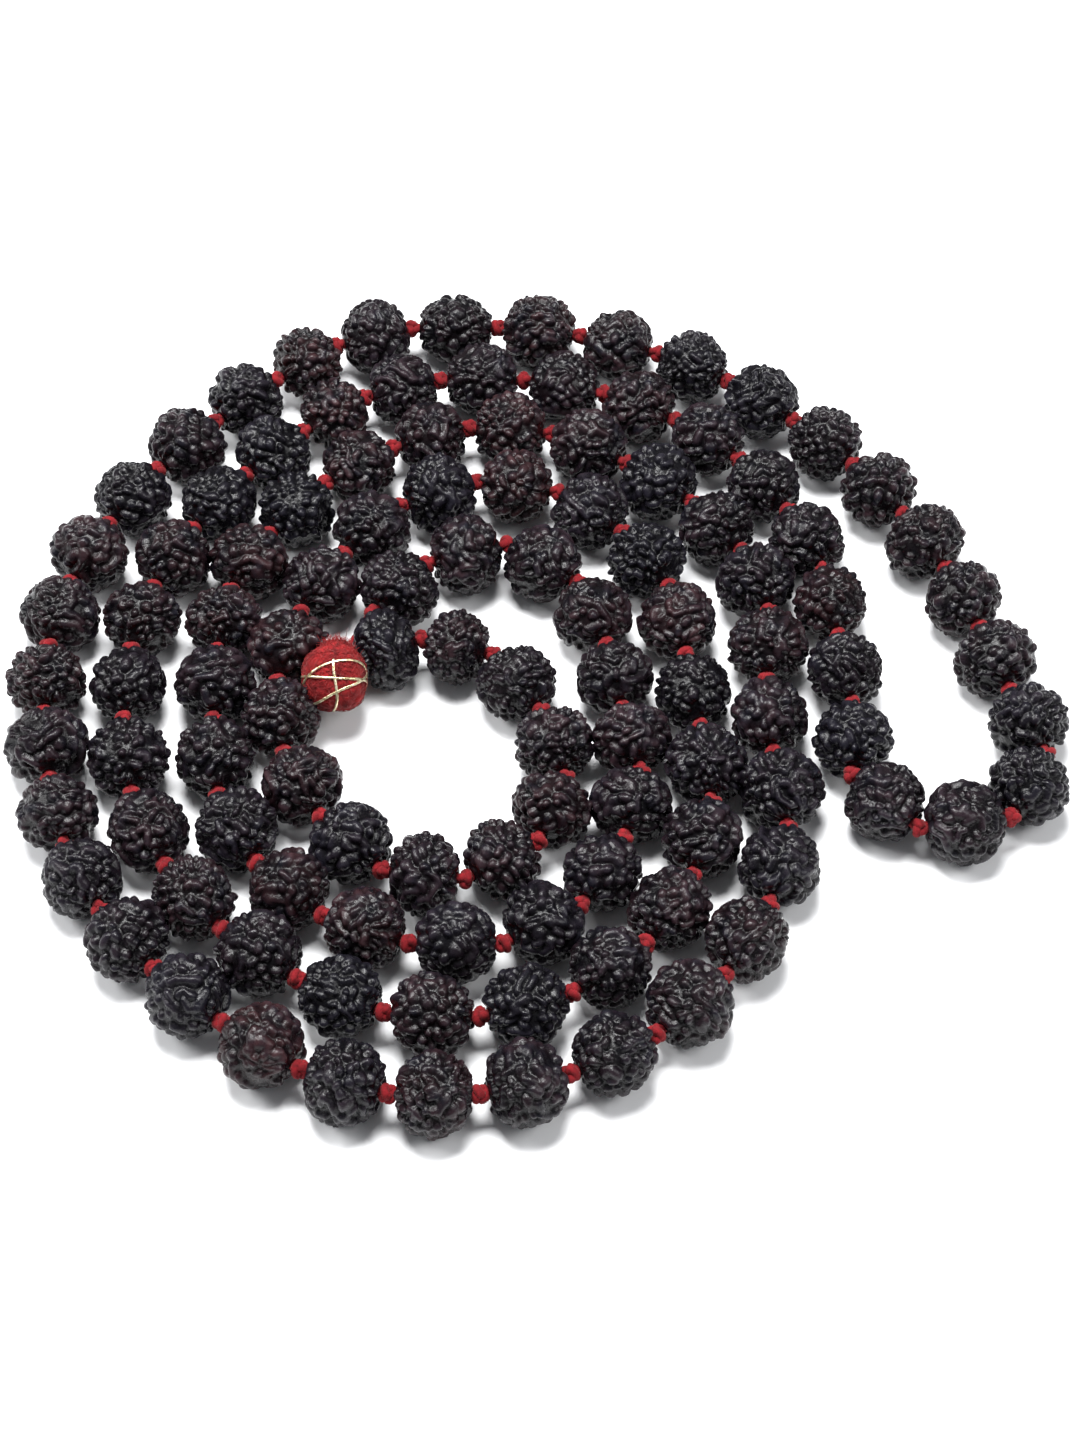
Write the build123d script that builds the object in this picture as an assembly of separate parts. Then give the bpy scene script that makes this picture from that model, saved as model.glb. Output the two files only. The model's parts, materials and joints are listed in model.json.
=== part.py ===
from build123d import *
import math
import os

# Mala prayer beads: one knotted red string of seed beads, laid flat on a table. The closed
# string is folded into a double strand and coiled, with the fold as a free loop at the right.
# Millimetres. +Z is up, z = 0 is the table, and the origin is under the middle of the coil.

# ---------------------------------------------------------------- driving dimensions
BEAD_RADIUS = 3.8           # across the thread, mean
BEAD_RADIUS_SPREAD = 0.1    # beads are seeds, so they differ
BEAD_END_GAP = 1.3          # between the ends of two neighbouring beads
ROW_CLEARANCE = 0.06        # least gap between beads of neighbouring rows
BORE_RADIUS = 0.6
THREAD_RADIUS = 0.5
KNOT_RADIUS = 0.95
KNOT_SEAT_RADIUS = 1.05     # round recess at each end of a bore, centred on the knot
KNOT_BEND_SHARE = 0.8       # how much of a knot the thread's bend takes up
FREE_BEND_SHARE = 0.45      # how much of the shorter run a bend outside the knots takes up
HINGE_GAP = 0.08            # between a knot and the thread that pivots round it
BEADS_PER_NODE = 8          # beads of the coil that share one file

GURU_RADIUS = 2.95          # red wool ball where both ends of the string meet
GURU_CORE_RADIUS = 1.4
GURU_CORD_RADIUS = 0.7
GURU_STOP_KNOT_RADIUS = 0.85
GURU_NECK_RADIUS = 0.95
GURU_NECK_REACH = 1.15      # from the tie knot's centre to the top of the wool neck
GOLD_WIDTH = 0.4
GOLD_THICKNESS = 0.1
GOLD_TURNS = [(0, 35, 10), (0, -40, 62), (0, 58, 100), (0, 32, 150)]  # hoops, about X, Y and Z

# Bead centres along the string, from the guru out to the fold and back: x, y, and how many
# beads on the next listed one is.
ROUTE = [
    (-14.2, 16.8, 1), (-8.0, 21.8, 1), (0.5, 20.2, 1), (5.4, 13.2, 1), (7.2, 5.2, 2),
    (9.1, -10.0, 2), (0.3, -24.4, 2), (-16.4, -24.9, 2), (-29.2, -13.3, 2), (-32.1, 4.6, 2),
    (-29.8, 20.0, 2), (-18.8, 33.6, 2), (-3.3, 38.5, 2), (12.5, 31.0, 2), (22.0, 17.8, 2),
    (22.5, 0.4, 2), (22.9, -17.4, 2), (13.9, -33.2, 2), (-1.5, -41.7, 2), (-17.7, -41.5, 2),
    (-32.6, -32.1, 2), (-43.5, -18.8, 2), (-48.2, -3.3, 2), (-48.5, 13.3, 2), (-42.3, 29.0, 2),
    (-31.1, 42.8, 2), (-18.0, 52.1, 2), (0.0, 52.8, 2), (16.3, 47.6, 2), (29.9, 36.6, 2),
    (39.5, 23.0, 2), (45.3, 7.6, 2), (47.8, -7.6, 1), (41.0, -13.0, 1), (32.9, -9.6, 2),
    (30.5, 6.3, 2), (27.4, 23.2, 2), (17.6, 37.2, 2), (2.6, 44.7, 2), (-14.8, 44.4, 2),
    (-27.7, 35.3, 2), (-37.6, 20.6, 2), (-40.9, 4.6, 2), (-37.6, -13.3, 2), (-26.2, -27.6, 2),
    (-10.0, -34.3, 2), (6.5, -29.2, 2), (15.6, -14.3, 2), (15.1, 3.6, 2), (10.9, 20.6, 2),
    (-2.4, 30.6, 1), (-10.6, 29.7, 1), (-17.3, 24.6, 1), (-22.0, 17.3, 1), (-25.2, 9.4, 1),
    (-25.4, 0.0, 1),
    (-23.2, -7.8, 2), (-11.1, -18.9, 2), (1.5, -11.0, 2), (-2.4, 4.6, 1), (-8.4, 9.9, 1),
    (-15.3, 8.95, 0),
]
STRING_END = (-20.0, 11.6)      # the first strand's bend between its last bead and the tie knot
GURU_CENTRE = (-20.1, 4.4)
GURU_RISE = 1.8                # the ball is jammed a little above the string's height

# The free loop lifts at these pairs of knots, one on each strand, numbered from the guru.
HINGE_KNOTS = [(53, 69), (55, 67), (57, 65), (59, 64), (60, 63)]


# ---------------------------------------------------------------- layout of the string
def bead_places(route):
    """Each bead's centre and direction, on a smooth curve through the listed centres."""
    points = [Vector(x, y) for x, y, _ in route]
    steps = [step for _, _, step in route]
    slopes = [(b - a) / step for a, b, step in zip(points, points[1:], steps)]
    tangents = [slopes[0]]
    for before, after, slope_in, slope_out in zip(steps, steps[1:], slopes, slopes[1:]):
        tangents.append((slope_in * after + slope_out * before) / (before + after))
    tangents.append(slopes[-1])
    centres, directions = [], []
    for i, slope in enumerate(slopes):
        leave = (tangents[i] - slope) * steps[i]
        arrive = (tangents[i + 1] - slope) * steps[i]
        for k in range(steps[i]):
            u = k / steps[i]
            place = points[i] + slope * (u * steps[i])
            centres.append(place + leave * (u * (1 - u) ** 2) - arrive * (u ** 2 * (1 - u)))
            turn = leave * ((1 - u) * (1 - 3 * u)) - arrive * (u * (2 - 3 * u))
            directions.append((slope * steps[i] + turn).normalized())
    return centres + [points[-1]], directions + [slopes[-1].normalized()]


def knot_places(centres, directions):
    """Knots midway between the ends of neighbouring beads, and one past each end bead."""
    knots = []
    for i in range(len(centres) - 1):
        half = (centres[i + 1] - centres[i]).length / 2
        knots.append((centres[i] + directions[i] * half + centres[i + 1] - directions[i + 1] * half) / 2)
    return [centres[0] * 2 - knots[0]] + knots + [centres[-1] * 2 - knots[-1]]


centres, directions = bead_places(ROUTE)
knots = knot_places(centres, directions)
centres = [(a + b) / 2 for a, b in zip(knots, knots[1:])]
runs = [(b - a).length for a, b in zip(knots, knots[1:])]
axes = [(b - a).normalized() for a, b in zip(knots, knots[1:])]
bead_count = len(centres)


def bead_radius(i):
    """A bead's radius: its seed's own size, or less where the next row leaves less room."""
    seed_size = BEAD_RADIUS + BEAD_RADIUS_SPREAD * math.sin(2.4 * i)
    others = [c for j, c in enumerate(centres) if abs(i - j) > 1]
    nearest = min((c - centres[i]).length for c in others)
    return min(seed_size, (nearest - ROW_CLEARANCE) / 2)


radii = [bead_radius(i) for i in range(bead_count)]
half_lengths = [(run - BEAD_END_GAP) / 2 for run in runs]
thread_height = max(radii)


def reach(i, component):
    """How far bead i's outline reaches from its centre along X or Y."""
    return math.hypot(radii[i] * math.sqrt(1 - component ** 2), half_lengths[i] * component)


low_x = min(centres[i].X - reach(i, axes[i].X) for i in range(bead_count))
high_x = max(centres[i].X + reach(i, axes[i].X) for i in range(bead_count))
low_y = min(centres[i].Y - reach(i, axes[i].Y) for i in range(bead_count))
high_y = max(centres[i].Y + reach(i, axes[i].Y) for i in range(bead_count))
origin_shift = Vector(-(low_x + high_x) / 2, -(low_y + high_y) / 2, thread_height)

knots = [k + origin_shift for k in knots]
centres = [c + origin_shift for c in centres]
tie_knot = knots[-1]
string_end = Vector(*STRING_END) + origin_shift
guru_centre = Vector(*GURU_CENTRE) + origin_shift + Vector(0, 0, GURU_RISE)


# ---------------------------------------------------------------- solids
def bead(i):
    """A seed bead: slightly flattened, bored along the thread, with a round seat for each knot."""
    outline = Ellipse(radii[i], half_lengths[i])
    outer_side = Pos(BORE_RADIUS + BEAD_RADIUS, 0) * Rectangle(2 * BEAD_RADIUS, 3 * BEAD_RADIUS)
    profile = outline & outer_side
    for end in (-1, 1):
        profile -= Pos(0, end * runs[i] / 2) * Circle(KNOT_SEAT_RADIUS)
    turned = revolve(Plane.XZ * profile, Axis.Z)
    return Plane(origin=centres[i], z_dir=axes[i]) * turned


def half_turn(before, corner, after):
    """Half the angle by which the thread turns at a corner, in radians."""
    return math.radians((corner - before).get_angle(after - corner)) / 2


def string_path(points):
    """The string's line: straight through the beads, bent inside the knots."""
    bends = []
    for corner in zip(points, points[1:], points[2:]):
        reach_each_way = KNOT_BEND_SHARE * KNOT_RADIUS
        if corner[1] == string_end:
            reach_each_way = FREE_BEND_SHARE * (corner[1] - corner[0]).length
        bends.append(reach_each_way / math.tan(half_turn(*corner)))
    return FilletPolyline(*points, radius=bends) if bends else Line(*points)


def string_tube(points):
    """A round tube of thread along the points."""
    path = string_path(points)
    return sweep(Plane(origin=path @ 0, z_dir=path % 0) * Circle(THREAD_RADIUS), path=path)


def thread(points, trim_start=False, trim_end=False):
    """One length of thread; a trimmed end stops short of the knot that it pivots on."""
    ends = list(points)
    trim = KNOT_RADIUS + HINGE_GAP
    if trim_start:
        ends[0] = points[0] + (points[1] - points[0]).normalized() * trim
    if trim_end:
        ends[-1] = points[-1] + (points[-2] - points[-1]).normalized() * trim
    length = string_path(ends).length
    tube = string_tube(ends)
    print(f"thread {length:.1f} mm, volume {tube.volume:.1f}, "
          f"section x length {math.pi * THREAD_RADIUS ** 2 * length:.1f}")
    return tube


def knot(before, at, after=None):
    """One knot: a ball pulled tight on the string, which bends inside it or ends in it."""
    line = [(before + at) / 2, at] + ([(at + after) / 2] if after else [])
    across = (at - before).cross(Vector(0, 0, 1))
    return Plane(origin=at, x_dir=across, z_dir=(0, 0, 1)) * Sphere(KNOT_RADIUS) - string_tube(line)


def knot_row(points):
    """The knots between the first and the last of the points."""
    return [knot(*corner) for corner in zip(points, points[1:], points[2:])]


def save(name, solids):
    """Write one node; several solids in one node stay separate."""
    shape = solids[0] if len(solids) == 1 else Compound(children=list(solids))
    export_step(shape, f"parts/{name}.step")


def coil_string():
    """Thread and knots of the two strands that stay in the coil, up to the fold's first hinge."""
    first, last = HINGE_KNOTS[0]
    out = knots[:first + 1]
    back = knots[last:]
    tie = knot(string_end, tie_knot)
    out_knots = [tie] + knot_row([string_end] + out) + [knot(out[-2], out[-1])]
    back_knots = [knot(back[1], back[0])] + knot_row(back)
    save("thread_out", [thread([tie_knot, string_end] + out)])
    save("thread_back", [thread(back, trim_end=True)])
    save("knots_out", out_knots)
    save("knots_back", back_knots)


def loop_string():
    """Thread and knots of each rung of the free loop, which carries the knots it lifts the next by."""
    for number, (near, far) in enumerate(zip(HINGE_KNOTS, HINGE_KNOTS[1:]), start=1):
        out = knots[near[0]:far[0] + 1]
        back = knots[far[1]:near[1] + 1]
        out_knots = knot_row(out) + [knot(out[-2], out[-1])]
        back_knots = [knot(back[1], back[0])] + knot_row(back)
        save(f"thread_rung_{number}", [thread(out, trim_start=True), thread(back, trim_end=True)])
        save(f"knots_rung_{number}", out_knots + back_knots)
    tip_a, tip_b = HINGE_KNOTS[-1]
    tip = knots[tip_a:tip_b + 1]
    save("thread_tip", [thread(tip, trim_start=True, trim_end=True)])
    save("knots_tip", knot_row(tip))


def guru():
    """The wool ball, its core, the cord that holds it and the gold thread laced round it."""
    along = (guru_centre - tie_knot).normalized()
    distance = (guru_centre - tie_knot).length
    frame = Plane(origin=tie_knot, z_dir=along)
    cord_start = KNOT_RADIUS + HINGE_GAP
    stop_place = distance + GURU_CORE_RADIUS + 0.3
    rod = Pos(0, 0, cord_start) * Cylinder(
        GURU_CORD_RADIUS, stop_place - cord_start, align=(Align.CENTER, Align.CENTER, Align.MIN))
    cord = rod + Pos(0, 0, stop_place) * Sphere(GURU_STOP_KNOT_RADIUS)
    core = Pos(0, 0, distance) * Sphere(GURU_CORE_RADIUS) - cord
    neck = Pos(0, 0, GURU_NECK_REACH) * Cone(
        GURU_NECK_RADIUS, 1.6 * GURU_NECK_RADIUS, distance - GURU_NECK_REACH,
        align=(Align.CENTER, Align.CENTER, Align.MIN))
    ball = Pos(0, 0, distance) * Sphere(GURU_RADIUS)
    wool = (ball + neck - core - cord).solids().sort_by(SortBy.VOLUME)[-1]
    hoops = [Rot(*turns) * Box(4 * GURU_RADIUS, 4 * GURU_RADIUS, GOLD_WIDTH) for turns in GOLD_TURNS]
    shell = Sphere(GURU_RADIUS + GOLD_THICKNESS) - Sphere(GURU_RADIUS)
    gold = Pos(0, 0, distance) * (shell & (hoops[0] + hoops[1:])) - neck
    return {"guru_cord": frame * cord, "guru_core": frame * core,
            "guru_wool": frame * wool, "guru_gold_thread": frame * gold}


# ---------------------------------------------------------------- nodes
os.makedirs("parts", exist_ok=True)
first_free, last_free = HINGE_KNOTS[0]
beads = [bead(i) for i in range(bead_count)]

for start in range(0, first_free, BEADS_PER_NODE):
    stop = min(start + BEADS_PER_NODE, first_free)
    save(f"beads_out_{start + 1:03d}_{stop:03d}", beads[start:stop])
for start in range(last_free, bead_count, BEADS_PER_NODE):
    stop = min(start + BEADS_PER_NODE, bead_count)
    save(f"beads_back_{start + 1:03d}_{stop:03d}", beads[start:stop])
for i in range(first_free, last_free):
    save(f"loop_bead_{i + 1:03d}", [beads[i]])

coil_string()
loop_string()
for name, solid in guru().items():
    save(name, [solid])

for number, (a, b) in enumerate(HINGE_KNOTS, start=1):
    line = (knots[b] - knots[a]).normalized()
    print(f"lift_{number}: pos {[round(v, 4) for v in knots[a]]} along {[round(v, 6) for v in line]}")
for i in range(first_free, last_free):
    print(f"bead_{i + 1:03d}: pos {[round(v, 4) for v in centres[i]]} along {[round(v, 6) for v in axes[i]]}")
print(f"guru_lift: pos {[round(v, 4) for v in tie_knot]} to {[round(v, 4) for v in guru_centre]}")
print(f"{bead_count} beads, string {sum(runs):.0f} mm, widths {2 * min(radii):.2f} to {2 * max(radii):.2f}")
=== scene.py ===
import json
import math

import bpy
import numpy as np
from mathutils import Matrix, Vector


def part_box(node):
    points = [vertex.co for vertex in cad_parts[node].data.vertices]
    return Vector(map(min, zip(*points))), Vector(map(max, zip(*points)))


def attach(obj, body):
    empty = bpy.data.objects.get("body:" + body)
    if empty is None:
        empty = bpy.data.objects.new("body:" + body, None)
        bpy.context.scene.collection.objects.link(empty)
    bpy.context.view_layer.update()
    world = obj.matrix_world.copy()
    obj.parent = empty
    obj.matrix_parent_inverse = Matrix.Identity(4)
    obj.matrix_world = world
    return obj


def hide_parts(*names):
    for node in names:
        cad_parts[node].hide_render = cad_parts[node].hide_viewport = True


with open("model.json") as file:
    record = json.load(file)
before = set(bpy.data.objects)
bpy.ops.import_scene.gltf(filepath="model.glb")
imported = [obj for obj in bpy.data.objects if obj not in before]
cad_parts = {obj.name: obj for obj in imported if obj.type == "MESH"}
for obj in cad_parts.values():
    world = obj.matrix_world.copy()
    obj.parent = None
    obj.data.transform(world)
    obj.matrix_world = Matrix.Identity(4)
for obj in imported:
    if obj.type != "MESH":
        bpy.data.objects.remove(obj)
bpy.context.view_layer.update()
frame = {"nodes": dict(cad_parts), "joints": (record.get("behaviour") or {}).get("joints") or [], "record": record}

MM = 0.001

# ---------------------------------------------------------------- sizes, in metres
BORE_RADIUS = 0.6 * MM
SEAT_RADIUS = 1.05 * MM
BEAD_END_GAP = 1.3 * MM
PEAK_RISE = 0.46 * MM           # how far the tallest nodules stand out of the CAD bead
RELIEF_DEPTH = 0.88 * MM        # from the tallest nodule to the bottom of a cleft
LIP_DROP = 0.12 * MM            # the smooth lip round the hole, below the CAD bead
THREAD_RADIUS = 0.5 * MM
PLY_DEPTH = 0.16                # how deep the grooves between plies are, as a share of the radius
KNOT_RADIUS = 0.95 * MM
KNOT_STRING_RADIUS = 0.42 * MM
KNOT_SPREAD = 1.25              # how much wider a knot is across the string than along it
KNOT_REACH = 0.59 * MM          # its string's line stays this near its middle, clear of the seats
RUN_POINTS = 26                 # along the string through one bead
RUN_AROUND = 12
RUN_TURNS = 4.5                 # of the plies, from knot to knot
KNOT_POINTS = 84
KNOT_AROUND = 14
KNOT_TURNS = 12
STRING_END = Vector((-19.53, 6.28, 3.9)) * MM     # where the string bends round to the guru

SEED_SPREAD = 0.14 * MM         # how much a seed's radius differs from its CAD bead, either way
LOOP_GROWTH = 0.10 * MM         # the free loop's seeds are this much larger where they have room
LOOP_SHRINK = 0.16 * MM         # and up to this much smaller where another row is near
FREE_SAG = 2.2 * MM             # the free stretch of string hangs this far below its ends

BEAD_AROUND = 138
BEAD_ALONG = 80
FEWEST_NODULES = 105
MOST_NODULES = 165
USUAL_NODULES = 150             # the number that the nodules' widths below are given for
NARROWEST_NODULE = 0.115        # half widths, as shares of the seed's radius
WIDEST_NODULE = 0.17
LONGEST_RIDGE = 0.17            # half of it
MUKHI = 5                       # clefts from pole to pole

GURU_SETTLE = np.array([-0.25, -0.2, -0.6]) * MM     # the felt sags a little from its CAD place
GURU_SWELL = 1.07               # and swells a little past its CAD ball
PRESS_AXES = np.array([[1.0, 0.0, 0.0], [0.0, 0.793, -0.609], [0.0, 0.609, 0.793]])
PRESS_POWER = 2.7               # 2 is a ball, more is squarer
TUFT_WAY = np.array([0.08, 0.80, 0.59])
TUFT_RISE = 0.20                # as a share of the ball's radius
FIBRE_RADIUS = 0.03 * MM
FIBRE_POINTS = 7
SURFACE_FIBRES = 1500
TUFT_FIBRES = 500
NECK_FIBRES = 900
GOLD_HALF_WIDTH = 0.135 * MM
GOLD_HALF_THICKNESS = 0.08 * MM
# Each hoop's axis, how far its plane lies from the ball's middle as a share of the radius, and how
# near the tuft it dives into the felt, as the cosine of the angle from it (over 1 if it doesn't).
GOLD_HOOPS = [
    ((0.063, 0.805, 0.574), 0.0, 2.0),
    ((0.995, 0.073, -0.032), 0.0, 0.52),
    ((0.428, -0.657, -0.620), 0.34, 2.0),
    ((0.287, -0.955, 0.066), 0.2, 2.0),
]


# ---------------------------------------------------------------- mesh helpers
def mesh_object(name, vertices, faces, materials, smooth=True, values=None, caps=()):
    """A mesh object from points, quads and triangles (caps); values are float attributes of points."""
    mesh = bpy.data.meshes.new(name)
    mesh.from_pydata(vertices.tolist(), [], faces.tolist() + [list(map(int, cap)) for cap in caps])
    mesh.polygons.foreach_set("use_smooth", [smooth] * len(mesh.polygons))
    for key, numbers in (values or {}).items():
        layer = mesh.attributes.new(key, "FLOAT", "POINT")
        layer.data.foreach_set("value", np.asarray(numbers, dtype=np.float32))
    for material in materials:
        mesh.materials.append(material)
    mesh.update()
    obj = bpy.data.objects.new(name, mesh)
    bpy.context.collection.objects.link(obj)
    return obj


def grid_faces(rows, columns, close_rows):
    """Quads of a grid whose columns wrap round, and whose rows do too if close_rows."""
    row = np.arange(rows if close_rows else rows - 1)
    column = np.arange(columns)
    r, c = np.meshgrid(row, column, indexing="ij")
    below = (r + 1) % rows
    right = (c + 1) % columns
    corners = [r * columns + c, r * columns + right, below * columns + right, below * columns + c]
    return np.stack([x.ravel() for x in corners], axis=1)


def join_parts(parts):
    """One set of points, quads and values from several."""
    points, quads, values, offset = [], [], {}, 0
    for part_points, part_quads, part_values in parts:
        points.append(part_points)
        quads.append(part_quads + offset)
        offset += len(part_points)
        for key, numbers in part_values.items():
            values.setdefault(key, []).append(numbers)
    return np.vstack(points), np.vstack(quads), {k: np.concatenate(v) for k, v in values.items()}


def basis(direction, spin=0.0):
    """Three axes as columns: two across the direction, turned by spin, and the direction."""
    z = np.array(direction, dtype=float)
    z /= np.linalg.norm(z)
    up = np.array([0.0, 0.0, 1.0]) if abs(z[2]) < 0.9 else np.array([1.0, 0.0, 0.0])
    x = np.cross(up, z)
    x /= np.linalg.norm(x)
    y = np.cross(z, x)
    c, s = math.cos(spin), math.sin(spin)
    return np.stack([c * x + s * y, c * y - s * x, z], axis=1)


def waves(points, frequency, count, generator):
    """Smooth noise, about -1 to 1: a sum of plane waves in random directions."""
    directions = generator.normal(size=(count, 3))
    directions /= np.linalg.norm(directions, axis=1)[:, None]
    pitch = frequency * generator.uniform(0.7, 1.35, size=count)
    phase = generator.uniform(0, 2 * math.pi, size=count)
    total = np.sin(points @ (directions * pitch[:, None]).T + phase).sum(axis=1)
    return total / math.sqrt(count / 2) / 1.6


# ---------------------------------------------------------------- places, read from the CAD
def loose_parts(node):
    """The lowest and highest corner of each separate solid in a CAD node's mesh."""
    mesh = frame["nodes"][node].data
    points = np.empty(len(mesh.vertices) * 3)
    mesh.vertices.foreach_get("co", points)
    points = points.reshape(-1, 3)
    _, point_of = np.unique(np.round(points, 7), axis=0, return_inverse=True)
    point_of = point_of.ravel()
    parent = list(range(point_of.max() + 1))

    def root(i):
        while parent[i] != i:
            parent[i] = parent[parent[i]]
            i = parent[i]
        return i

    for edge in mesh.edges:
        a, b = (root(point_of[v]) for v in edge.vertices)
        if a != b:
            parent[a] = b
    label = np.array([root(i) for i in point_of])
    return [(points[label == k].min(axis=0), points[label == k].max(axis=0)) for k in np.unique(label)]


bodies_of = frame["record"]["behaviour"]["bodies"]
body_of_node = {node: body for body, nodes in bodies_of.items() for node in nodes}
bead_nodes = sorted(n for n in body_of_node if n.startswith(("beads_", "loop_bead_")))
knot_nodes = sorted(n for n in body_of_node if n.startswith("knots_"))
thread_nodes = sorted(n for n in body_of_node if n.startswith("thread_"))

knots = []                      # (centre, node)
for node in knot_nodes:
    for low, high in loose_parts(node):
        knots.append(((low + high) / 2, node))
knot_centres = np.array([k[0] for k in knots])

beads = []                      # (node, radius, one knot, the other knot)
for node in bead_nodes:
    for low, high in loose_parts(node):
        middle = (low + high) / 2
        nearest = np.argsort(np.linalg.norm(knot_centres - middle, axis=1))[:2]
        beads.append((node, (high[2] - low[2]) / 2, knot_centres[nearest[0]], knot_centres[nearest[1]]))
print("beads", len(beads), "knots", len(knots))


# ---------------------------------------------------------------- materials
def node_material(name):
    """A new material, its Principled shader and helpers to add and link nodes."""
    material = bpy.data.materials.new(name)
    material.use_nodes = True
    tree = material.node_tree
    shader = tree.nodes["Principled BSDF"]

    def add(kind, **settings):
        node = tree.nodes.new(kind)
        for key, value in settings.items():
            if key in node.inputs:
                node.inputs[key].default_value = value
            else:
                setattr(node, key, value)
        return node

    return material, shader, add, tree.links.new


def ramp(add, stops):
    """A colour ramp with the given (place, colour) stops."""
    node = add("ShaderNodeValToRGB")
    elements = node.color_ramp.elements
    while len(elements) < len(stops):
        elements.new(0.5)
    for element, (place, colour) in zip(elements, stops):
        element.position = place
        element.color = (*colour, 1)
    return node


def seed_material():
    """Dyed, oiled seed: black in the clefts, partly dye and partly painted shade, with wear leaving the nodules
    brown-black, and glossy highlights.
    """
    material, shader, add, link = node_material("dyed_seed")
    place = add("ShaderNodeTexCoord").outputs["Object"]
    relief = add("ShaderNodeAttribute", attribute_name="relief").outputs["Fac"]
    tint = add("ShaderNodeAttribute", attribute_name="tint").outputs["Fac"]
    patches = add("ShaderNodeTexNoise", Scale=420.0, Detail=4.0, Roughness=0.6)
    grain = add("ShaderNodeTexNoise", Scale=3800.0, Detail=4.0, Roughness=0.65)
    pits = add("ShaderNodeTexVoronoi", Scale=2600.0, feature="SMOOTH_F1")
    for texture in (patches, grain, pits):
        link(place, texture.inputs["Vector"])
    # Both ramps darken the colour by the relief, from the nodules down into the clefts: painted shade in the
    # clefts, along with wear that lightens the nodules.
    dyed_and_cleft_shade = ramp(add, [
        (0.15, (0.0012, 0.0010, 0.0018)), (0.6, (0.0038, 0.0034, 0.0058)), (1.0, (0.0096, 0.0088, 0.0138))])
    link(relief, dyed_and_cleft_shade.inputs["Fac"])
    # Painted shade in the clefts here too, under the brown-black of the wear on the nodules.
    worn_and_cleft_shade = ramp(add, [
        (0.1, (0.0038, 0.0010, 0.0014)), (0.6, (0.018, 0.0062, 0.0072)), (1.0, (0.046, 0.020, 0.022))])
    link(relief, worn_and_cleft_shade.inputs["Fac"])
    patch_share = add("ShaderNodeMapRange", **{"From Min": 0.35, "From Max": 0.6})
    link(patches.outputs["Fac"], patch_share.inputs["Value"])
    share = add("ShaderNodeMath", operation="MULTIPLY")
    link(patch_share.outputs["Result"], share.inputs[0])
    link(tint, share.inputs[1])
    colour = add("ShaderNodeMix", data_type="RGBA")
    link(share.outputs["Value"], colour.inputs["Factor"])
    link(dyed_and_cleft_shade.outputs["Color"], colour.inputs[6])
    link(worn_and_cleft_shade.outputs["Color"], colour.inputs[7])
    link(colour.outputs[2], shader.inputs["Base Color"])
    gloss = add("ShaderNodeMapRange", **{"From Min": 0.3, "From Max": 0.7, "To Min": 0.21, "To Max": 0.39})
    link(grain.outputs["Fac"], gloss.inputs["Value"])
    link(gloss.outputs["Result"], shader.inputs["Roughness"])
    fine = add("ShaderNodeBump", Strength=0.5, Distance=0.00008)
    link(grain.outputs["Fac"], fine.inputs["Height"])
    dents = add("ShaderNodeBump", Strength=0.3, Distance=0.00014)
    link(pits.outputs["Distance"], dents.inputs["Height"])
    link(fine.outputs["Normal"], dents.inputs["Normal"])
    link(dents.outputs["Normal"], shader.inputs["Normal"])
    shader.inputs["Specular IOR Level"].default_value = 0.22
    return material


def fibre_material(name, dark, bright, scale, sheen):
    """Dyed fibre: mottled colour, fine fibre bump and a soft sheen."""
    material, shader, add, link = node_material(name)
    place = add("ShaderNodeTexCoord").outputs["Object"]
    mottle = add("ShaderNodeTexNoise", Scale=scale, Detail=5.0, Roughness=0.7)
    fibres = add("ShaderNodeTexNoise", Scale=scale * 5, Detail=4.0, Roughness=0.7, Distortion=0.8)
    for texture in (mottle, fibres):
        link(place, texture.inputs["Vector"])
    colour = ramp(add, [(0.25, dark), (0.75, bright)])
    link(mottle.outputs["Fac"], colour.inputs["Fac"])
    link(colour.outputs["Color"], shader.inputs["Base Color"])
    bump = add("ShaderNodeBump", Strength=0.6, Distance=0.0001)
    link(fibres.outputs["Fac"], bump.inputs["Height"])
    link(bump.outputs["Normal"], shader.inputs["Normal"])
    shader.inputs["Roughness"].default_value = 0.85
    shader.inputs["Specular IOR Level"].default_value = 0.25
    shader.inputs["Sheen Weight"].default_value = sheen
    shader.inputs["Sheen Roughness"].default_value = 0.4
    shader.inputs["Sheen Tint"].default_value = (1.0, 0.45, 0.42, 1)
    return material


def gold_material():
    """Pale metallic lacing thread: a wrapped foil with a fine slanting wind."""
    material, shader, add, link = node_material("gold_lacing")
    place = add("ShaderNodeTexCoord").outputs["Object"]
    glint = add("ShaderNodeTexNoise", Scale=2600.0, Detail=3.0)
    link(place, glint.inputs["Vector"])
    colour = ramp(add, [(0.3, (0.40, 0.31, 0.15)), (0.5, (0.66, 0.58, 0.36)), (0.72, (0.86, 0.80, 0.60))])
    link(glint.outputs["Fac"], colour.inputs["Fac"])
    link(colour.outputs["Color"], shader.inputs["Base Color"])
    rough = add("ShaderNodeMapRange", **{"From Min": 0.3, "From Max": 0.7, "To Min": 0.22, "To Max": 0.45})
    link(glint.outputs["Fac"], rough.inputs["Value"])
    link(rough.outputs["Result"], shader.inputs["Roughness"])
    bump = add("ShaderNodeBump", Strength=0.3, Distance=0.00005)
    link(glint.outputs["Fac"], bump.inputs["Height"])
    link(bump.outputs["Normal"], shader.inputs["Normal"])
    shader.inputs["Metallic"].default_value = 0.85
    return material


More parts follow.
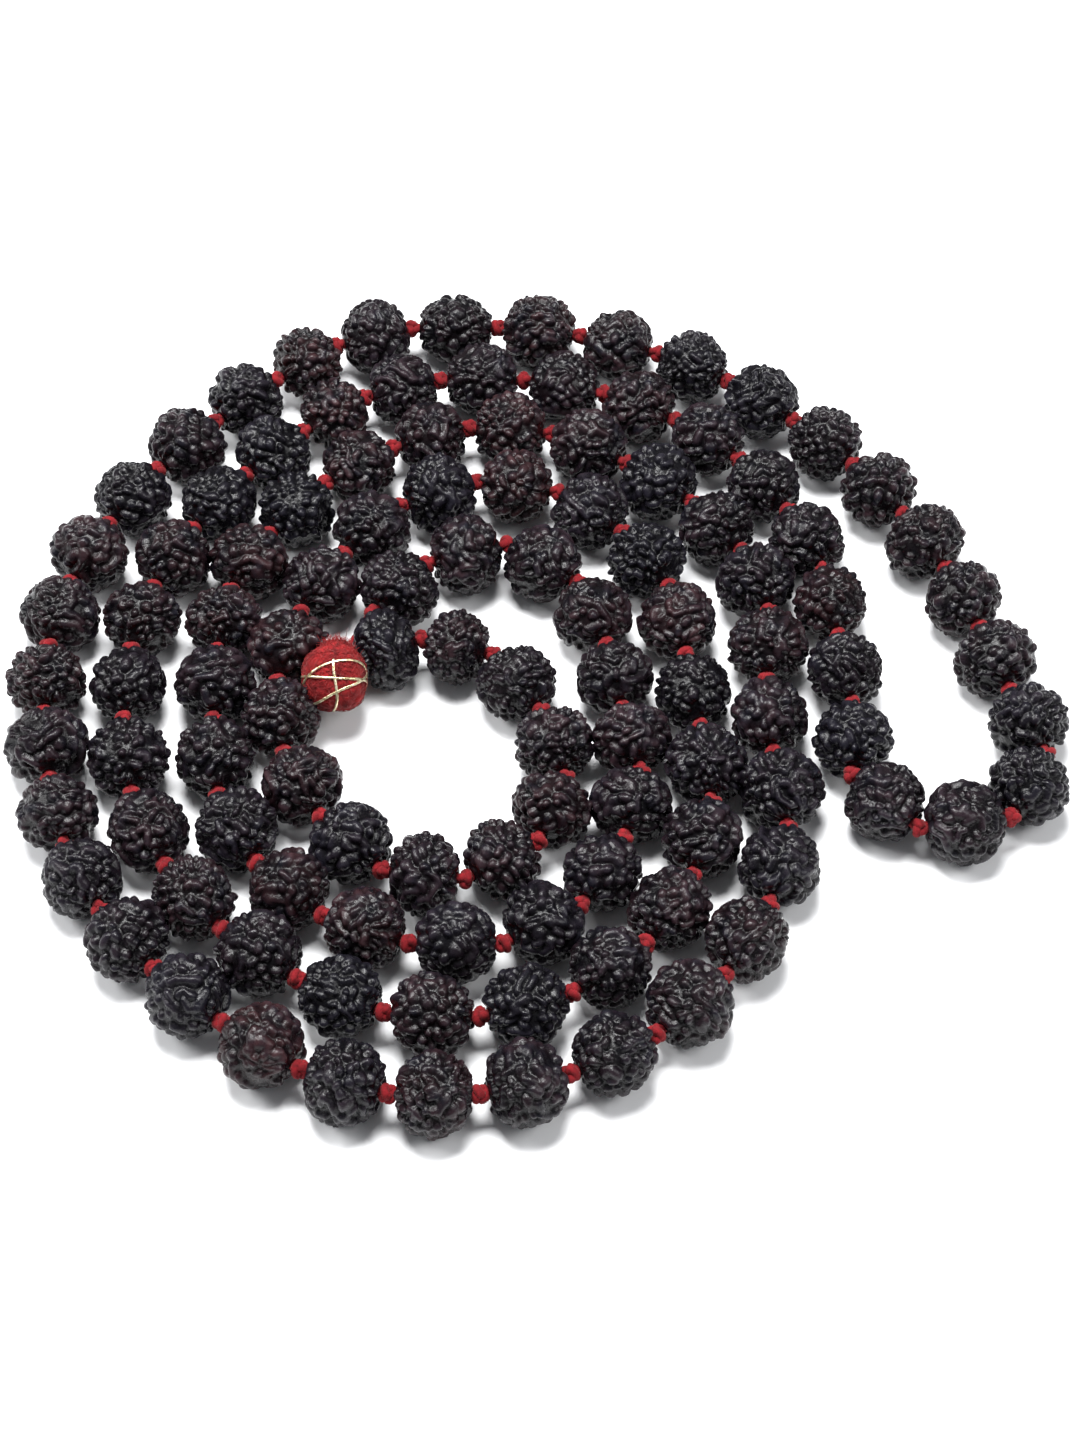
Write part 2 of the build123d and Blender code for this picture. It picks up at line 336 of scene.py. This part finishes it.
def floor_material():
    """A plain pale tabletop."""
    material, shader, add, link = node_material("pale_table")
    cloud = add("ShaderNodeTexNoise", Scale=3.0, Detail=2.0)
    colour = ramp(add, [(0.3, (0.86, 0.865, 0.875)), (0.7, (0.89, 0.895, 0.9))])
    link(cloud.outputs["Fac"], colour.inputs["Fac"])
    link(colour.outputs["Color"], shader.inputs["Base Color"])
    shader.inputs["Roughness"].default_value = 0.7
    shader.inputs["Specular IOR Level"].default_value = 0.2
    return material


seed = seed_material()
thread_red = fibre_material("red_string", (0.06, 0.001, 0.003), (0.25, 0.006, 0.011), 1500.0, 0.16)
wool_red = fibre_material("red_wool", (0.05, 0.002, 0.003), (0.32, 0.010, 0.012), 700.0, 0.22)
gold = gold_material()


# ---------------------------------------------------------------- seed beads
def seed_relief(directions, generator):
    """Height of a rudraksha seed's surface, 0 in its clefts to 1 on its tallest nodules.

    The surface is a crowd of short rounded ridges, each a bent capsule lying on the ball.
    """
    warp = np.stack([waves(directions, 6.0, 8, generator) for _ in range(3)], axis=1)
    warped = directions + 0.07 * warp
    count = int(generator.integers(FEWEST_NODULES, MOST_NODULES))
    size = math.sqrt(USUAL_NODULES / count)
    index = np.arange(count) + 0.5
    polar = np.arccos(1 - 2 * index / count)
    turn = math.pi * (1 + 5 ** 0.5) * index
    spots = np.stack([np.sin(polar) * np.cos(turn), np.sin(polar) * np.sin(turn), np.cos(polar)], axis=1)
    spots += generator.normal(scale=0.05, size=spots.shape)
    spots /= np.linalg.norm(spots, axis=1)[:, None]
    lie = np.cross(spots, generator.normal(size=spots.shape))
    lie /= np.linalg.norm(lie, axis=1)[:, None]
    half_length = np.minimum(generator.gamma(1.5, generator.uniform(0.012, 0.05), size=count), LONGEST_RIDGE)
    half_width = size * generator.uniform(NARROWEST_NODULE, WIDEST_NODULE, size=count)
    tall = generator.uniform(0.62, 1.0, size=count)
    total = np.zeros(len(directions))
    for spot, way, reach, width, height in zip(spots, lie, half_length, half_width, tall):
        away = warped - spot
        along = np.clip(away @ way, -reach, reach)
        distance = np.linalg.norm(away - along[:, None] * way, axis=1)
        dome = np.clip(1 - (distance / width) ** 2, 0, 1) ** 0.8
        total += (height * dome) ** 5
    ridges = total ** 0.2
    broad = waves(directions, 2.6, 8, generator)
    wrinkles = 1 - np.abs(waves(directions, 42.0, 30, generator))
    around = np.arctan2(directions[:, 1], directions[:, 0]) + 0.16 * warp[:, 0]
    sector = (around + generator.uniform(0, 2 * math.pi)) * MUKHI / (2 * math.pi)
    equator_share = np.hypot(directions[:, 0], directions[:, 1])
    from_cleft = np.abs(sector - np.round(sector)) * 2 * math.pi / MUKHI * equator_share
    cleft = np.exp(-(from_cleft / 0.05) ** 2)
    height = ridges * (1 - 0.55 * cleft) + 0.05 * np.clip(wrinkles, 0, 1) + 0.17 * broad
    low, high = np.percentile(height, [0.5, 99.8])
    return np.clip((height - low) / (high - low), 0, 1)


def bead_grid(radius, run, generator):
    """A bored seed bead along Z: carved outside, round knot seats at both ends, and the bore."""
    half = (run - BEAD_END_GAP) / 2
    seat = run / 2
    lip_polar = 0.0
    for step in range(400):             # where the outline meets the knot's seat
        lip_polar = step / 400 * math.pi / 2
        if math.hypot(radius * math.sin(lip_polar), half * math.cos(lip_polar) - seat) >= SEAT_RADIUS:
            break
    polar = np.linspace(lip_polar, math.pi - lip_polar, BEAD_ALONG)
    turn = np.linspace(0, 2 * math.pi, BEAD_AROUND, endpoint=False)
    p, t = np.meshgrid(polar, turn, indexing="ij")
    directions = np.stack([np.sin(p) * np.cos(t), np.sin(p) * np.sin(t), np.cos(p)], axis=-1).reshape(-1, 3)
    relief = seed_relief(directions, generator)
    lips = np.sin(np.clip((p - lip_polar) / 0.22, 0, 1) * math.pi / 2) * np.sin(
        np.clip((math.pi - lip_polar - p) / 0.22, 0, 1) * math.pi / 2)
    fade = lips.ravel()
    drop = (RELIEF_DEPTH * (1 - relief) - PEAK_RISE) * fade + (1 - fade) * LIP_DROP
    normals = directions / np.array([radius, radius, half])
    normals /= np.linalg.norm(normals, axis=1)[:, None]
    outside = directions * np.array([radius, radius, half]) - normals * drop[:, None]
    rings = [outside.reshape(BEAD_ALONG, BEAD_AROUND, 3)]
    values = [relief.reshape(BEAD_ALONG, BEAD_AROUND)]
    bore_z = seat - math.sqrt(SEAT_RADIUS ** 2 - BORE_RADIUS ** 2)

    def inner_ring(ring_radius, z):
        circle = ring_radius * np.cos(turn), ring_radius * np.sin(turn), np.full(BEAD_AROUND, z)
        rings.append(np.stack(circle, axis=1)[None])
        values.append(np.full((1, BEAD_AROUND), 0.15))

    lip_radius = radius * math.sin(lip_polar)
    seat_steps = 3
    for k in range(1, seat_steps + 1):  # far seat, from the lip down to the bore
        r = lip_radius + (BORE_RADIUS - lip_radius) * k / seat_steps
        inner_ring(r, -(seat - math.sqrt(max(SEAT_RADIUS ** 2 - r ** 2, 0))))
    for k in (0.5, 0.0, -0.5):
        inner_ring(BORE_RADIUS, -bore_z * k)
    for k in range(seat_steps, 0, -1):  # near seat
        r = lip_radius + (BORE_RADIUS - lip_radius) * k / seat_steps
        inner_ring(r, seat - math.sqrt(max(SEAT_RADIUS ** 2 - r ** 2, 0)))
    points = np.concatenate(rings).reshape(-1, 3)
    relief_values = np.concatenate(values).ravel()
    faces = grid_faces(len(relief_values) // BEAD_AROUND, BEAD_AROUND, close_rows=True)
    return points, faces[:, ::-1], relief_values


def loop_growth(number):
    """How much larger than its CAD bead a seed of the free loop is, by the room that it turns in."""
    _, radius, knot_a, knot_b = beads[number]
    middle = (knot_a + knot_b) / 2
    nearest = min(np.linalg.norm((a + b) / 2 - middle) for _, _, a, b in beads
                  if min(np.linalg.norm(p - q) for p in (a, b) for q in (knot_a, knot_b)) > 0.01 * MM)
    return min(max(nearest / 2 - radius - PEAK_RISE, -LOOP_SHRINK), LOOP_GROWTH)


def build_beads():
    """One piece for each CAD node of beads, with its beads where the CAD has them."""
    parts = {node: [] for node in bead_nodes}
    for number, (node, radius, knot_a, knot_b) in enumerate(beads):
        generator = np.random.default_rng(1000 + number)
        run = np.linalg.norm(knot_b - knot_a)
        size = radius + generator.uniform(-1, 1) * SEED_SPREAD
        if node.startswith("loop_bead_"):
            size = radius + loop_growth(number) + generator.uniform(-0.3, 0.3) * SEED_SPREAD
        points, faces, relief = bead_grid(size, run, generator)
        turned = points @ basis(knot_b - knot_a, generator.uniform(0, 2 * math.pi)).T
        placed = turned + (knot_a + knot_b) / 2
        placed[:, 2] = np.maximum(placed[:, 2], 0.0)
        tint = np.full(len(points), generator.beta(1.2, 2.0))
        parts[node].append((placed, faces, {"relief": relief, "tint": tint}))
    for node, node_parts in parts.items():
        points, faces, values = join_parts(node_parts)
        piece = mesh_object("seeds_" + node, points, faces, [seed], values=values)
        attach(piece, body_of_node[node])
        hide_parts(node)


# ---------------------------------------------------------------- red string
def twisted_tube(line, radius, around, twist, closed=False):
    """Three-ply string along a line of points; twist is in turns over the whole line."""
    count = len(line)
    if closed:
        ahead, behind = np.roll(line, -1, axis=0), np.roll(line, 1, axis=0)
    else:
        ahead, behind = np.vstack([line[1:], line[-1:]]), np.vstack([line[:1], line[:-1]])
    tangents = ahead - behind
    tangents /= np.linalg.norm(tangents, axis=1)[:, None]
    side = basis(tangents[0])[:, 0]
    rings = []
    for i in range(count):
        side = side - tangents[i] * (side @ tangents[i])
        side /= np.linalg.norm(side)
        other = np.cross(tangents[i], side)
        angle = np.linspace(0, 2 * math.pi, around, endpoint=False)
        wound = angle - 2 * math.pi * twist * i / count
        ply = 1 - PLY_DEPTH + PLY_DEPTH * np.abs(np.cos(1.5 * wound)) * 1.4
        outward = np.cos(angle)[:, None] * side + np.sin(angle)[:, None] * other
        rings.append(line[i] + radius * ply[:, None] * outward)
    points = np.vstack(rings)
    faces = grid_faces(count, around, close_rows=closed)
    if not closed:
        caps = [np.arange(around)[::-1], np.arange(around) + (count - 1) * around]
        centre_points = np.stack([line[0], line[-1]])
        base = len(points)
        points = np.vstack([points, centre_points])
        extra = []
        for k, cap in enumerate(caps):
            nxt = np.roll(cap, -1)
            for a, b in zip(cap[::2], nxt[::2]):
                c = cap[(np.where(cap == b)[0][0] + 1) % around]
                extra.append([a, b, c, base + k])
        faces = np.vstack([faces, np.array(extra)])
    return points, faces


def knot_shape(centre, direction, spin):
    """A tight overhand knot: a trefoil of the string, drawn up into a ball."""
    t = np.linspace(0, 2 * math.pi, KNOT_POINTS, endpoint=False)
    across = KNOT_SPREAD * (np.sin(t) + 2 * np.sin(2 * t))
    through = KNOT_SPREAD * -2.3 * np.sin(3 * t)
    along = np.cos(t) - 2 * np.cos(2 * t)
    trefoil = np.stack([across, through, along], axis=1) * (KNOT_RADIUS - KNOT_STRING_RADIUS) / 3.0
    trefoil *= np.minimum(1, KNOT_REACH / np.linalg.norm(trefoil, axis=1))[:, None]
    line = trefoil @ basis(direction, spin).T + centre
    return twisted_tube(line, KNOT_STRING_RADIUS, KNOT_AROUND, KNOT_TURNS, closed=True)


def build_string():
    """The string, one piece a strand: a run through each bead, and a knot at each end of it."""
    parts = {}
    for _, _, knot_a, knot_b in beads:
        line = np.linspace(knot_a, knot_b, RUN_POINTS)
        points, faces = twisted_tube(line, THREAD_RADIUS, RUN_AROUND, RUN_TURNS)
        parts.setdefault(strand_through((knot_a + knot_b) / 2), []).append((points, faces, {}))
    generator = np.random.default_rng(7)
    for centre, node in knots:
        direction = next(b - a for _, _, a, b in beads
                         if min(np.linalg.norm(a - centre), np.linalg.norm(b - centre)) < 0.01 * MM)
        points, faces = knot_shape(centre, direction, generator.uniform(0, 2 * math.pi))
        parts.setdefault(node.removeprefix("knots_"), []).append((points, faces, {}))
    parts["out"].append((*free_stretch(), {}))
    for strand, strand_parts in parts.items():
        points, faces, _ = join_parts(strand_parts)
        piece = mesh_object("string_" + strand, points, faces, [thread_red])
        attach(piece, body_of_node["thread_" + strand])
        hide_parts("thread_" + strand, "knots_" + strand)


def strand_through(place):
    """The strand whose CAD thread runs nearest a place."""
    nearest = min(thread_nodes, key=lambda n: np.linalg.norm(thread_points[n] - place, axis=1).min())
    return nearest.removeprefix("thread_")


def free_stretch():
    """The short stretch of string from the first bead round to the tie knot at the guru."""
    tie = knot_centres[tie_index]
    order = np.argsort(np.linalg.norm(knot_centres - np.array(STRING_END), axis=1))
    start = knot_centres[[i for i in order if i != tie_index][0]]
    u = np.linspace(0, 1, RUN_POINTS)[:, None]
    line = (1 - u) ** 2 * start + 2 * u * (1 - u) * np.array(STRING_END) + u ** 2 * tie
    line[:, 2] -= FREE_SAG * np.sin(math.pi * u[:, 0])
    return twisted_tube(line, THREAD_RADIUS, RUN_AROUND, 4.0)


def node_points(node):
    """Every point of a CAD node's mesh."""
    mesh = frame["nodes"][node].data
    points = np.empty(len(mesh.vertices) * 3)
    mesh.vertices.foreach_get("co", points)
    return points.reshape(-1, 3)


thread_points = {}
for thread_node in thread_nodes:
    middles = np.array([f.center[:] for f in frame["nodes"][thread_node].data.polygons])
    thread_points[thread_node] = np.vstack([node_points(thread_node), middles])

TUFT_WAY /= np.linalg.norm(TUFT_WAY)
guru_low, guru_high = (np.array(v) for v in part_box("guru_wool"))
core_low, core_high = (np.array(v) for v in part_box("guru_core"))
ball_centre = (core_low + core_high) / 2 + GURU_SETTLE
ball_radius = GURU_SWELL * (guru_high[0] - guru_low[0]) / 2
guru_joint = next(j for j in frame["joints"] if j["name"] == "guru_lift")
tie_place = np.array(guru_joint["pos_m"])
tie_index = int(np.argmin(np.linalg.norm(knot_centres - tie_place, axis=1)))


# ---------------------------------------------------------------- guru
def fibre_tufts(paths, radius):
    """Thin wool fibres, three-sided, along the given lines."""
    parts = []
    for line in paths:
        tangents = np.gradient(line, axis=0)
        tangents /= np.linalg.norm(tangents, axis=1)[:, None] + 1e-12
        side = basis(tangents[0])[:, 0]
        rings = []
        for i, point in enumerate(line):
            taper = 1 - 0.8 * abs(2 * i / (len(line) - 1) - 1) ** 2
            other = np.cross(tangents[i], side)
            for k in range(3):
                angle = 2 * math.pi * k / 3
                rings.append(point + radius * taper * (math.cos(angle) * side + math.sin(angle) * other))
        parts.append((np.array(rings), grid_faces(len(line), 3, close_rows=False), {}))
    return join_parts(parts)


def guru_shape(directions):
    """Distance of the felt's smooth surface from the middle: a ball pressed a little square, with a
    tuft where its ends are gathered."""
    local = directions @ PRESS_AXES
    press = (np.abs(local) ** PRESS_POWER).sum(axis=1) ** (-1 / PRESS_POWER)
    tuft = np.exp(-((1 - directions @ TUFT_WAY) / 0.09) ** 1.5)
    return ball_radius * press * (1 + TUFT_RISE * tuft)


def wool_ball():
    """The felted ball, with lumps and grooves where the wool was wound, drawn out to its neck."""
    rows, columns, pole = 110, 160, 0.02
    toward_neck = tie_place - ball_centre
    reach = np.linalg.norm(toward_neck)
    axes = basis(toward_neck)
    polar = np.linspace(pole, math.pi - pole, rows)
    turn = np.linspace(0, 2 * math.pi, columns, endpoint=False)
    p, t = np.meshgrid(polar, turn, indexing="ij")
    local = np.stack([np.sin(p) * np.cos(t), np.sin(p) * np.sin(t), np.cos(p)], axis=-1).reshape(-1, 3)
    directions = local @ axes.T
    generator = np.random.default_rng(21)
    lumps = waves(directions, 3.0, 9, generator)
    felt = waves(directions, 26.0, 26, generator)
    wound = np.abs(waves(directions, 9.0, 12, generator))
    size = guru_shape(directions) * (0.985 + 0.030 * lumps + 0.014 * felt - 0.03 * (1 - wound) ** 4)
    neck = np.exp(-(p.ravel() / 0.42) ** 2.4)
    size += neck * (reach - 1.25 * MM - ball_radius)
    points = directions * size[:, None] + ball_centre
    first, last = np.arange(columns), np.arange(columns) + (rows - 1) * columns
    poles = [points[first].mean(axis=0), points[last].mean(axis=0)]
    caps = [(a, b, len(points)) for a, b in zip(first, np.roll(first, -1))]
    caps += [(b, a, len(points) + 1) for a, b in zip(last, np.roll(last, -1))]
    faces = grid_faces(rows, columns, close_rows=False)[:, ::-1]
    return np.vstack([points, poles]), faces, caps, axes


def build_guru():
    """Wool ball with stray fibres and a tuft at the neck, laced with gold thread."""
    points, faces, caps, axes = wool_ball()
    ball = mesh_object("wool_ball", points, faces, [wool_red], caps=caps)
    generator = np.random.default_rng(33)
    paths = []
    for _ in range(SURFACE_FIBRES):
        start = generator.normal(size=3)
        start /= np.linalg.norm(start)
        heading = np.cross(start, generator.normal(size=3))
        heading /= np.linalg.norm(heading)
        span = generator.uniform(0.15, 0.5)
        curl = generator.normal(scale=0.35)
        lift = generator.uniform(0.0, 0.07) * generator.uniform(0.3, 1.0)
        line = []
        for u in np.linspace(0, 1, FIBRE_POINTS):
            angle = span * u
            sideways = np.cross(start, heading) * math.sin(curl * u * span)
            direction = start * math.cos(angle) + heading * math.sin(angle) + sideways
            direction /= np.linalg.norm(direction)
            surface = guru_shape(direction[None, :])[0]
            line.append(ball_centre + direction * surface * (0.985 + lift * math.sin(math.pi * u) ** 0.7))
        paths.append(np.array(line))
    for _ in range(TUFT_FIBRES):
        start = TUFT_WAY + 0.22 * generator.normal(size=3)
        start /= np.linalg.norm(start)
        bend = 0.35 * generator.normal(size=3) * MM
        length = generator.uniform(0.1, 0.42) * MM
        root = ball_centre + start * guru_shape(start[None, :])[0] * 0.97
        u = np.linspace(0, 1, FIBRE_POINTS)[:, None]
        paths.append(root + start * length * u + bend * u ** 2)
    up = axes[:, 2]
    neck_base = ball_centre + up * ball_radius * 0.9
    for _ in range(NECK_FIBRES):
        sideways = generator.normal(size=3)
        sideways -= up * (sideways @ up)
        sideways /= np.linalg.norm(sideways)
        spread = generator.uniform(0.1, 1.15) * MM
        bend = generator.normal(size=3) * 0.25 * MM
        length = generator.uniform(0.55, 1.45) * (np.linalg.norm(tie_place - ball_centre) - ball_radius * 0.9)
        u = np.linspace(0, 1, FIBRE_POINTS)[:, None]
        swell = spread * (1 + 0.25 * np.sin(math.pi * u))
        paths.append(neck_base + sideways * swell + up * length * u + bend * u ** 2)
    points, faces, _ = fibre_tufts(paths, FIBRE_RADIUS)
    first = np.arange(0, len(points), 3 * FIBRE_POINTS)[:, None]
    last = first + 3 * (FIBRE_POINTS - 1)
    caps = np.vstack([first + [2, 1, 0], last + [0, 1, 2]])
    fuzz = mesh_object("wool_fibres", points, faces, [wool_red], caps=caps)
    for piece in (ball, fuzz):
        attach(piece, "guru")
    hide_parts("guru_wool", "guru_core", "guru_cord")
    lacing = gold_lacing()
    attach(lacing, "guru")
    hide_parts("guru_gold_thread")


def gold_lacing():
    """Flat wrapped-foil thread laid round the ball in hoops that cross."""
    parts = []
    generator = np.random.default_rng(5)
    for normal, offset, dive in GOLD_HOOPS:
        axes = basis(normal)
        count, around = 220, 10
        ring_radius = math.sqrt(1 - offset ** 2)
        rings = []
        wander = generator.normal(scale=0.012, size=(4, 2))
        for i in range(count):
            a = 2 * math.pi * i / count
            drift = sum(c * math.cos(n * a) + d * math.sin(n * a) for n, (c, d) in enumerate(wander, start=1))
            out = ring_radius * (axes[:, 0] * math.cos(a) + axes[:, 1] * math.sin(a))
            out += axes[:, 2] * (offset + drift)
            out /= np.linalg.norm(out)
            ahead = axes[:, 1] * math.cos(a) - axes[:, 0] * math.sin(a)
            wide = np.cross(out, ahead)
            depth = 0.10 * min(max((out @ TUFT_WAY - dive) / 0.12, 0.0), 1.0)
            centre = ball_centre + out * (guru_shape(out[None, :])[0] * (1.012 - depth))
            for k in range(around):
                b = 2 * math.pi * k / around
                wind = 1 + 0.10 * math.sin(2 * math.pi * i / 5 + b)
                sideways = GOLD_HALF_WIDTH * wind * math.cos(b) * wide
                rings.append(centre + sideways + GOLD_HALF_THICKNESS * wind * math.sin(b) * out)
        parts.append((np.array(rings), grid_faces(count, around, close_rows=True), {}))
    points, faces, _ = join_parts(parts)
    return mesh_object("gold_lacing", points, faces, [gold])


build_beads()
build_string()
build_guru()


# ---------------------------------------------------------------- stage, light and camera
def build_stage():
    """A pale floor and soft light from above."""
    size = 4.0
    corners = np.array([[-size, -size, 0], [size, -size, 0], [size, size, 0], [-size, size, 0]])
    floor = mesh_object("table", corners, np.array([[0, 1, 2, 3]]), [floor_material()])
    world = bpy.data.worlds.new("soft_room")
    bpy.context.scene.world = world
    world.use_nodes = True
    world.node_tree.nodes["Background"].inputs["Color"].default_value = (0.94, 0.96, 1.0, 1)
    world.node_tree.nodes["Background"].inputs["Strength"].default_value = 0.28

    def area(name, place, target, size_m, power):
        light = bpy.data.lights.new(name, "AREA")
        light.size = size_m
        light.energy = power
        holder = bpy.data.objects.new(name, light)
        holder.location = place
        holder.rotation_euler = (Vector(target) - Vector(place)).to_track_quat("-Z", "Y").to_euler()
        bpy.context.collection.objects.link(holder)

    area("overhead", (-0.04, 0.10, 0.50), (0, 0, 0), 0.22, 5.8)
    area("left_window", (-0.5, 0.1, 0.45), (0, 0, 0), 0.25, 3.2)
    area("right_fill", (0.5, -0.1, 0.5), (0, 0, 0), 0.3, 2.4)


def build_camera():
    """The photograph's view: from the front, looking down at about 52 degrees, with a long lens."""
    elevation = math.radians(52.5)
    distance = 0.330
    target = Vector((0.473, -5.32, 3.9)) * MM
    camera = bpy.data.cameras.new("camera")
    camera.sensor_fit = "HORIZONTAL"
    camera.sensor_width = 36.0
    camera.lens = 111.76
    camera.clip_start = 0.01
    holder = bpy.data.objects.new("camera", camera)
    holder.location = target + distance * Vector((0, -math.cos(elevation), math.sin(elevation)))
    holder.rotation_euler = (target - holder.location).to_track_quat("-Z", "Y").to_euler()
    bpy.context.collection.objects.link(holder)
    bpy.context.scene.camera = holder


build_stage()
build_camera()
bpy.context.scene.view_settings.view_transform = "Standard"
